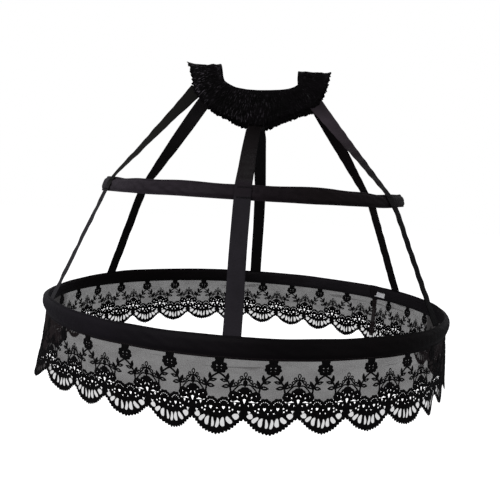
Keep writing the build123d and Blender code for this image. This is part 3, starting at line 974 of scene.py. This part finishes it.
def stroke(points, width, steps):
    """A drawn line with round ends."""
    pts = np.array(points, float)
    if len(pts) > 2:
        pts = catmull(pts, [steps] * (len(pts) - 1))
    else:
        pts = pts[0] + (pts[1] - pts[0]) * np.linspace(0, 1, steps + 1)[:, None]
    t = unit(np.gradient(pts, axis=0))
    half_width = np.stack([-t[:, 1], t[:, 0]], -1) * width / 2
    first_end, last_end = pts[0] - t[0] * width * 0.42, pts[-1] + t[-1] * width * 0.42
    return np.vstack([pts + half_width, last_end[None], (pts - half_width)[::-1], first_end[None]])


def leaf(p, q, width, n=9):
    """Pointed leaf from p to q."""
    p, q = np.array(p, float), np.array(q, float)
    d = q - p
    f = np.linspace(0, 1, n)
    half_width = (np.array([-d[1], d[0]]) / np.hypot(*d)
                  * (width / 2 * np.sin(np.pi * np.clip(f, 0.04, 0.96)) ** 0.8)[:, None])
    mid = p + d * f[:, None]
    return np.vstack([mid + half_width, (mid - half_width)[::-1]])


def both_sides(shape):
    """A shape and its mirror image about u = 0."""
    return [shape, (shape * [-1, 1])[::-1]]


def half_pitch(shape):
    """A shape drawn about the axis between two flowers, at both ends of the cell."""
    return [shape + [HALF, 0], shape - [HALF, 0]]


def outer_edge(u):
    return np.interp(np.abs(u) / HALF * SCALLOP[-1][0], *np.array(SCALLOP).T)


def outer_line():
    """The scallop's lower outline with its picots, from the left end of the cell to the right."""
    u = np.linspace(-HALF, HALF, 95)
    k = np.hanning(9)
    v = np.convolve(np.pad(outer_edge(u), 4, mode="edge"), k / k.sum(), mode="valid")
    s = run_length(np.stack([u, v], -1))
    fine = np.linspace(0, s[-1], 141)
    line = np.stack([np.interp(fine, s, u), np.interp(fine, s, v)], -1)
    t = unit(np.gradient(line, axis=0))
    picots, tall = 17, 2.3
    picot = (np.abs(np.sin(np.pi * picots * fine / s[-1])) ** 0.8 - 0.6) * tall
    line = line + np.stack([-t[:, 1], t[:, 0]], -1) * picot[:, None]
    line[0, 0], line[-1, 0] = -HALF, HALF
    line[-1, 1] = line[0, 1]
    return line


def top_outline(u):
    """Upper outline of the border, from its rounded bumps."""
    v = np.full_like(u, 56.0)
    for cx, cy, r in BUMPS:
        d = np.abs(u - cx)
        v = np.where(d < r, np.minimum(v, cy - np.sqrt(np.maximum(r * r - d * d, 0))), v)
    return v


def border():
    """The band of solid embroidery above the fan, and the openings in it."""
    solids = [np.vstack([outer_line(), [[HALF, 56]], [[-HALF, 56]]])]
    solids += half_pitch(ring(0, 47, 11, n=40, petals=10, depth=0.10))
    for sgn in (-1, 1):
        solids += half_pitch(ring(14.5 * sgn, 48.5, 7, n=30, petals=8, depth=0.12))
    solids += both_sides(ring(8.7, 60, 9.8, n=40, petals=10, depth=0.10))
    holes = half_pitch(np.array([(-2.4, 52.4), (-0.9, 51.4), (0.9, 51.4), (2.4, 52.4), (1.3, 56.2), (0, 59.0),
                                 (-1.3, 56.2)]))
    for sgn in (-1, 1):
        for shape in (stroke([(2.1 * sgn, 46.0), (3.4 * sgn, 48.4)], 1.1, 3),
                      ring(9.3 * sgn, 49.6, 0.75, 1.5, n=10, turn=30 * sgn),
                      ring(5.6 * sgn, 60.6, 0.75, 1.5, n=10, turn=-20 * sgn),
                      np.array([(12 * sgn - 1.9, 56.6), (12 * sgn + 1.9, 57.2), (12.2 * sgn, 61.2)]),
                      np.array([(6.7 * sgn - 2.5, 67.4), (6.7 * sgn + 2.5, 68.0), (7.1 * sgn, 73.0)]),
                      ring(15.2 * sgn, 47.2, 0.7, n=8), ring(6.6 * sgn, 43.4, 0.6, n=8)):
            holes += half_pitch(shape)
    a = np.linspace(0, TAU, 26, endpoint=False)
    holes += both_sides(np.stack([2.15 * np.sin(a) ** 3 + 8.5, 64.4 - (
        2.15 * np.cos(a) - 0.8 * np.cos(2 * a) - 0.4 * np.cos(3 * a)) * 1.1], -1))
    for a in map(rad, (-62, -38, -13, 13, 38, 62)):
        holes += both_sides(ring(8.7 + 6.3 * math.sin(a), 61.2 - 6.3 * math.cos(a), 0.62, n=8))
    holes.append(ring(0, 65.6, 1.1, n=10))
    holes += both_sides(np.array([(2.3, 69.3), (5.0, 69.6), (3.9, 72.0)]))
    for x, y, r in ((15.9, 64, 1.3), (20.4, 66.6, 1.2), (16.6, 68.6, 1.3)):
        holes += both_sides(ring(x, y, r, n=10))
    return solids, [h.mean(0) + (h - h.mean(0)) * 0.84 for h in holes]


def fan_slots():
    """Open slots between bars that spread out from above the scallop."""
    bars = (-50, -36.5, -24.5, -12.6, -3.4, 6.5, 18.5, 31.0, 46)      # in degrees from straight down
    centre_v, bar = 45, 1.45

    def inner_line(u):
        return np.interp(np.abs(u), [0, 8, 15, 20, 25, 30], [78.2, 77.0, 75.2, 73.2, 71.0, 69])

    def border_line(u):
        return outer_edge(u) - np.interp(np.abs(u), [0, 8, 15, 20, 25, 30], [8.2, 7.8, 7.4, 7.0, 6.4, 6.0])

    def reach(angle, line):
        r = np.linspace(20, 60, 400)
        return r[np.argmax(centre_v + r * math.cos(rad(angle)) > line(r * math.sin(rad(angle))))]

    slots = []
    for k, (a0, a1) in enumerate(zip(bars, bars[1:])):
        middle = (a0 + a1) / 2
        inner, outer = reach(middle, inner_line), reach(middle, border_line)
        centre_r, tall = (inner + outer) / 2, (outer - inner) / 2
        outline = []
        for q in np.linspace(0, TAU, 28, endpoint=False):
            cx, cy = math.sin(q), math.cos(q)
            r = centre_r + tall * np.sign(cy) * abs(cy) ** 0.55
            f = (r - inner) / (2 * tall)
            wide = (rad(a1 - a0) / 2 * r - bar) * (0.78 + 0.30 * math.sin(math.pi * min(max(f, 0), 1)))
            bend = math.sin(f * 3.6 + k * 1.7)
            angle = rad(middle + math.degrees((wide * np.sign(cx) * abs(cx) ** 0.62 + bend) / r))
            outline.append((r * math.sin(angle), centre_v + r * math.cos(angle)))
        slots.append(np.array(outline))
    return slots


def flower():
    """The flower on its stub, and the stems and leaves that arch down from it to the border."""
    solids = [np.array([(-6.6, -1.2), (6.6, -1.2), (6.2, 1.6), (5.2, 5), (-5.2, 5), (-6.2, 1.6)]),
              ring(0, 10.9, 11.0, 8.9, n=72, petals=9, depth=0.15, turn=10)]
    for shape in (stroke([(0, 18.6), (4, 21), (8, 24), (12, 29), (15.2, 35), (16.6, 42), (17.2, 48)], 2.5, 5),
                  leaf((11.6, 29.2), (12.2, 18.8), 4.8), leaf((15.4, 37.0), (20.2, 26.6), 5.2),
                  leaf((12.2, 30.2), (1.9, 27.4), 4.6), leaf((16.2, 35.4), (4.6, 37.2), 5.6)):
        solids += both_sides(shape)
    holes = []
    for shape in (ring(3.1, 9.4, 0.95, n=10), ring(3.0, 13.4, 0.6, n=8), ring(10.2, 36.3, 2.0, 0.6, n=10),
                  ring(7.0, 28.9, 1.5, 0.42, n=8, turn=14)):
        holes += both_sides(shape)
    return solids, holes


def pyramid():
    """The pyramid of rings between two flowers."""
    solids = half_pitch(ring(0, 19.6, 2.6, 3.5, n=18))
    holes = half_pitch(ring(0, 19.6, 1.15, 2.0, n=12))
    solids += half_pitch(stroke([(0, 22), (0, 37.5)], 2.3, 5)) + half_pitch(ring(0, 30, 3.2, n=18))
    for sgn in (-1, 1):
        for x, y, r, eye in ((5.2, 23.6, 2.6, 1.0), (7.6, 28.6, 2.7, 1.0), (12.0, 32.6, 2.8, 1.05)):
            solids += half_pitch(ring(x * sgn, y, r, n=16))
            holes += half_pitch(ring(x * sgn, y, eye, n=10))
        for points, width in (
                (((0, 24.4), (4.2, 26.6), (8.4, 31.4), (13.2, 35.2), (18.2, 36.6)), 2.2),
                (((0, 33.6), (5.6, 33.0), (9.2, 35.2), (13.4, 39.6), (16.4, 43.5)), 2.0)):
            solids += half_pitch(stroke([(x * sgn, y) for x, y in points], width, 4))
    return solids, holes


def inside(points, poly):
    """Which points are inside a closed outline."""
    x, y = points.T
    hit = np.zeros(len(points), bool)
    lo, hi = poly.min(0), poly.max(0)
    near = (x >= lo[0]) & (x <= hi[0]) & (y >= lo[1]) & (y <= hi[1])
    xs, ys = x[near], y[near]
    odd = np.zeros(len(xs), bool)
    for (x0, y0), (x1, y1) in zip(poly, np.roll(poly, -1, 0)):
        if y0 != y1:
            odd ^= ((ys < y0) != (ys < y1)) & (xs < x0 + (ys - y0) / (y1 - y0) * (x1 - x0))
    hit[near] = odd
    return hit


def in_lace(points, solids, holes):
    """Which points are in the thread and not in an opening."""
    keep = np.zeros(len(points), bool)
    for s in solids:
        keep |= inside(points, s)
    for h in holes:
        keep &= ~inside(points, h)
    return keep & (np.abs(points[:, 0]) < HALF)


def distance_to(segments, points):
    """Each point's distance to the nearest of some segments, given as their two ends side by side."""
    a, ab = segments[:, :2], segments[:, 2:] - segments[:, :2]
    length_squared = np.maximum((ab ** 2).sum(1), 1e-9)
    out = np.empty(len(points))
    for i in range(0, len(points), 400):
        p = points[i:i + 400, None]
        t = np.clip(((p - a) * ab).sum(-1) / length_squared, 0, 1)
        out[i:i + 400] = np.sqrt(((p - (a + ab * t[..., None])) ** 2).sum(-1).min(1))
    return out


def edges_of(triangles):
    return np.vstack([triangles[:, [0, 1]], triangles[:, [1, 2]], triangles[:, [2, 0]]])


def triangulate(solids, holes, grid_step):
    """Flat triangles of one repeat, with extra points in the thread, and how far each is from an edge."""
    cell = np.array([(-HALF, -6), (HALF, -6), (HALF, 104), (-HALF, 104)])
    verts, edges = [], []
    for loop in [cell] + solids + holes:
        base = len(verts)
        verts += [Vector((float(x), float(y))) for x, y in loop]
        edges += [(base + i, base + (i + 1) % len(loop)) for i in range(len(loop))]
    outlines = np.vstack([np.hstack([loop, np.roll(loop, -1, 0)]) for loop in solids + holes])
    gx, gy = np.meshgrid(np.arange(0, HALF - 1, grid_step), np.arange(0, 100, grid_step * 0.87))
    gx = gx + (np.arange(gx.shape[0]) % 2)[:, None] * grid_step / 2
    g = np.stack([gx.ravel(), gy.ravel()], -1)
    g = np.vstack([g, g[g[:, 0] > 0.1] * [-1, 1]])
    g = g[np.abs(g[:, 0]) < HALF - 0.8]
    g = g[in_lace(g, solids, holes)]
    g = g[distance_to(outlines, g) > 0.55]
    verts += [Vector((float(x), float(y))) for x, y in g]
    v, _, f, *_ = delaunay_2d_cdt(verts, edges, [], 0, 1e-4)
    v = np.array([(p[0], p[1]) for p in v])
    f = np.array([t for t in f if len(t) == 3])
    f = f[in_lace(v[f].mean(1), solids, holes)]
    area = np.cross(v[f[:, 1]] - v[f[:, 0]], v[f[:, 2]] - v[f[:, 0]])
    f, area = f[np.abs(area) > 1e-5], area[np.abs(area) > 1e-5]
    f[area < 0] = f[area < 0][:, ::-1]
    used, f = np.unique(f, return_inverse=True)
    f = f.reshape(-1, 3)
    v = v[used]
    ends, count = np.unique(np.sort(edges_of(f), 1), axis=0, return_counts=True)
    rim = ends[count == 1]
    on_side = np.abs(np.abs(v[:, 0]) - HALF) < 1e-3
    rim = rim[~(on_side[rim[:, 0]] & on_side[rim[:, 1]])]
    return v, f, distance_to(np.hstack([v[rim[:, 0]], v[rim[:, 1]]]), v)


def lace_cell():
    """One repeat of the lace, from the axis between two flowers to the next."""
    parts = [border(), ([], fan_slots()), flower(), pyramid()]
    return triangulate(sum((p[0] for p in parts), []), sum((p[1] for p in parts), []), grid_step=2.3)


cell_v, cell_f, cell_d = lace_cell()


def lace_piece(name, cells):
    """One run of repeats, welded to each other, with an outer and an inner face and edges between them."""
    left = np.where(np.abs(cell_v[:, 0] + HALF) < 1e-3)[0]
    right = np.where(np.abs(cell_v[:, 0] - HALF) < 1e-3)[0]
    match = {}
    for i in right:
        j = left[np.argmin(np.abs(cell_v[left, 1] - cell_v[i, 1]))]
        if abs(cell_v[j, 1] - cell_v[i, 1]) < 2e-3:
            match[j] = i
    flat, height, f = [], [], []
    count, previous = 0, None
    for k in cells:
        ids = np.full(len(cell_v), -1)
        if previous is not None:
            for j, i in match.items():
                ids[j] = previous[i]
        fresh = np.where(ids < 0)[0]
        ids[fresh] = count + np.arange(len(fresh))
        count += len(fresh)
        flat.append(np.column_stack([k + cell_v[fresh, 0] / PITCH, cell_v[fresh, 1]]))
        height.append(cell_d[fresh])
        f.append(ids[cell_f])
        previous = ids
    (k, v), d, f = np.vstack(flat).T, np.concatenate(height), np.vstack(f)
    rise = (0.18 + 0.5 * np.sqrt(np.clip(d / 1.7, 0, 1)) + 0.16 * np.sin(d * 2.4) * (d > 0.5)) * MM
    outer, inner = lace_point(k, v, rise), lace_point(k, v, -np.minimum(rise, 0.4 * MM))
    edges = edges_of(f)
    _, first, uses = np.unique(np.sort(edges, 1), axis=0, return_index=True, return_counts=True)
    rim = edges[first[uses == 1]]
    walls = np.column_stack([rim[:, 0], rim[:, 1], rim[:, 1] + count, rim[:, 0] + count])
    # azimuth grows with u and v runs down, so the drawn faces turn outward when reversed
    faces = list(f[:, ::-1]) + list(f + count) + list(walls)
    cloth = np.column_stack([k * PITCH * MM, v * MM, 0 * d])
    return new_mesh(name, np.vstack([outer, inner]), faces, LACE, np.vstack([cloth, cloth]))


def net_strip(name, material, k0, k1, columns, rows, top, bottom, push=0.0, node=None):
    """A strip of net behind the lace, between two lines across the repeat."""
    k = np.linspace(k0, k1, columns)
    u = (k - np.round(k)) * PITCH
    V = top(u)[:, None] + (bottom(u) - top(u))[:, None] * np.linspace(0, 1, rows)[None]
    K = np.broadcast_to(k[:, None], V.shape)
    return new_mesh(name, lace_point(K, V, push), grid_faces(columns, rows, False, False), material,
                    cloth_map(K * PITCH * MM, V * MM, V.shape), node)


RUN = 8                             # repeats in one piece of lace
pieces = [lace_piece("lace_pattern_%d" % (start // RUN + 1), range(start, start + RUN))
          for start in range(0, REPEATS, RUN)]
net = net_strip("lace_net", NET, 0, REPEATS, REPEATS * 26 + 1, 12, lambda u: np.full_like(u, -2.5),
                lambda u: top_outline(u) + 3, node="lace_trim")
fan = net_strip("lace_fan_net", FAN_NET, 0, REPEATS, REPEATS * 18 + 1, 7,
                lambda u: np.interp(np.abs(u), [0, 15, 25, 35], [75.2, 73.4, 69.8, 66]),
                lambda u: outer_edge(u) - 3.2)
seam = net_strip("lace_seam", SEAM_NET, 14.82, 15.06, 10, 30, lambda u: np.full_like(u, -2.0),
                 lambda u: np.full_like(u, 83.0), push=-0.9 * MM)


# ---------------- blank label
def label():
    """A blank tape sewn by its upper edge inside the hem band, curling a little at its lower edge."""
    lo, hi = box("care_label")
    pts = np.array([v.co[:] for v in bpy.data.objects["care_label"].data.vertices])
    a = rad(LABEL_AZ)
    sideways = pts @ [-math.sin(a), math.cos(a), 0]
    r = float(np.mean(np.hypot(pts[:, 0], pts[:, 1])))
    z0, z1 = lo[2] + 2.5 * MM, hi[2] - 1.5 * MM
    u0, u1 = sideways.min() + 2.5 * MM, sideways.max() + 7.5 * MM

    def place(u, radius, z):
        angle = (u - sideways.mean()) / r + a
        return np.stack([radius * np.cos(angle), radius * np.sin(angle), z + 0 * angle], -1)

    U, F = np.linspace(u0, u1, 29), np.linspace(0, 1, 17)
    UU, FF = np.meshgrid(U, F, indexing="ij")
    curl = 1.1 * MM * (1 - FF) ** 2 * np.cos(3.0 * (UU - u0) / (u1 - u0))
    faces = [place(UU, r + side * 0.24 * MM - curl, z0 + (z1 - z0) * FF) for side in (1, -1)]
    obj = shell_mesh("blank_label", *faces, False, LABEL, "label_tape", U,
                     np.concatenate([F, F[::-1]]) * (z1 - z0), "care_label")
    p = place(np.linspace(u0 + 1 * MM, u1 - 1 * MM, 20), r - 0.32 * MM, z1 - 1.6 * MM)
    inward = np.array([-math.cos(a), -math.sin(a), 0])
    stitches("label_stitches", [(p, np.broadcast_to(inward, p.shape))], 2.0, 0.9, 0.35)


label()

# ---------------- inner parts that keep their CAD shape
BONING = plastic_material("hoop_boning", (0.62, 0.61, 0.57))
JOINER = plastic_material("hoop_joiner", (0.40, 0.41, 0.42))
for name, material in (("mid_hoop_boning", BONING), ("bottom_hoop_boning", BONING),
                       ("mid_hoop_joiner", JOINER), ("bottom_hoop_joiner", JOINER)):
    materials = bpy.data.objects[name].data.materials
    materials.clear()
    materials.append(material)

# ---------------- camera at the photograph's angle
turn, pitch, roll = 0.0475788, 0.089824, 0.0611475      # radians: to the left, down, and over
camera_data = bpy.data.cameras.new("camera")
camera_data.lens, camera_data.sensor_width = 45.21, 36
camera_data.clip_start, camera_data.clip_end = 0.02, 60
camera = bpy.data.objects.new("camera", camera_data)
bpy.context.scene.collection.objects.link(camera)
camera.matrix_world = (Matrix.Translation((0.05505, -1.15444, -0.17688)) @ Matrix.Rotation(turn, 4, "Z")
                       @ Matrix.Rotation(math.pi / 2 - pitch, 4, "X") @ Matrix.Rotation(roll, 4, "Z"))
bpy.context.scene.camera = camera


# ---------------- pale studio
def seen_or_lit(tree, lit, seen, output):
    """One shader for what the camera sees straight on, and another for the light it gives the object."""
    path, mix = tree.nodes.new("ShaderNodeLightPath"), tree.nodes.new("ShaderNodeMixShader")
    tree.links.new(path.outputs["Is Camera Ray"], mix.inputs[0])
    tree.links.new(lit.outputs[0], mix.inputs[1])
    tree.links.new(seen.outputs[0], mix.inputs[2])
    tree.links.new(mix.outputs[0], output.inputs[0])


def set_inputs(node, **values):
    for name, value in values.items():
        node.inputs[name.replace("_", " ")].default_value = value


def studio_floor():
    size, z = 14.0, -0.84
    mesh = bpy.data.meshes.new("floor")
    corners = [(x * size, y * size, z) for x, y in ((-1, -1), (1, -1), (1, 1), (-1, 1))]
    mesh.from_pydata(corners, [], [(0, 1, 2, 3)])
    floor = bpy.data.objects.new("floor", mesh)
    bpy.context.scene.collection.objects.link(floor)
    material = bpy.data.materials.new("floor_white")
    material.use_nodes = True
    tree = material.node_tree
    seen = next(n for n in tree.nodes if n.type == "BSDF_PRINCIPLED")
    set_inputs(seen, Base_Color=(0.8, 0.8, 0.8, 1), Roughness=0.9, Specular_IOR_Level=0.0,
               Emission_Color=(1, 1, 1, 1), Emission_Strength=0.9)
    lit = tree.nodes.new("ShaderNodeBsdfDiffuse")
    set_inputs(lit, Color=(0.35, 0.35, 0.36, 1))
    seen_or_lit(tree, lit, seen, next(n for n in tree.nodes if n.type == "OUTPUT_MATERIAL"))
    mesh.materials.append(material)
    return floor


studio_floor()

world = bpy.context.scene.world or bpy.data.worlds.new("studio")
bpy.context.scene.world = world
world.use_nodes = True
sky = world.node_tree
sky.nodes.clear()
output = sky.nodes.new("ShaderNodeOutputWorld")
seen, lit = sky.nodes.new("ShaderNodeBackground"), sky.nodes.new("ShaderNodeBackground")
set_inputs(seen, Color=(1, 1, 1, 1), Strength=1.0)
set_inputs(lit, Color=(0.96, 0.97, 1.0, 1), Strength=0.30)
seen_or_lit(sky, lit, seen, output)


def area_light(name, place, target, size, power):
    data = bpy.data.lights.new(name, "AREA")
    data.shape, data.size, data.energy = "SQUARE", size, power
    obj = bpy.data.objects.new(name, data)
    bpy.context.scene.collection.objects.link(obj)
    obj.location = place
    obj.rotation_euler = (Vector(target) - Vector(place)).to_track_quat("-Z", "Y").to_euler()


area_light("key_light", (-1.1, -2.0, 1.5), (0, 0, -0.2), 1.5, 30)
area_light("fill_light", (1.9, -1.6, 0.6), (0, 0, -0.3), 1.6, 5)
area_light("back_light", (0.2, 2.2, 1.4), (0, 0, -0.2), 1.6, 14)
bpy.context.scene.view_settings.view_transform = "Standard"
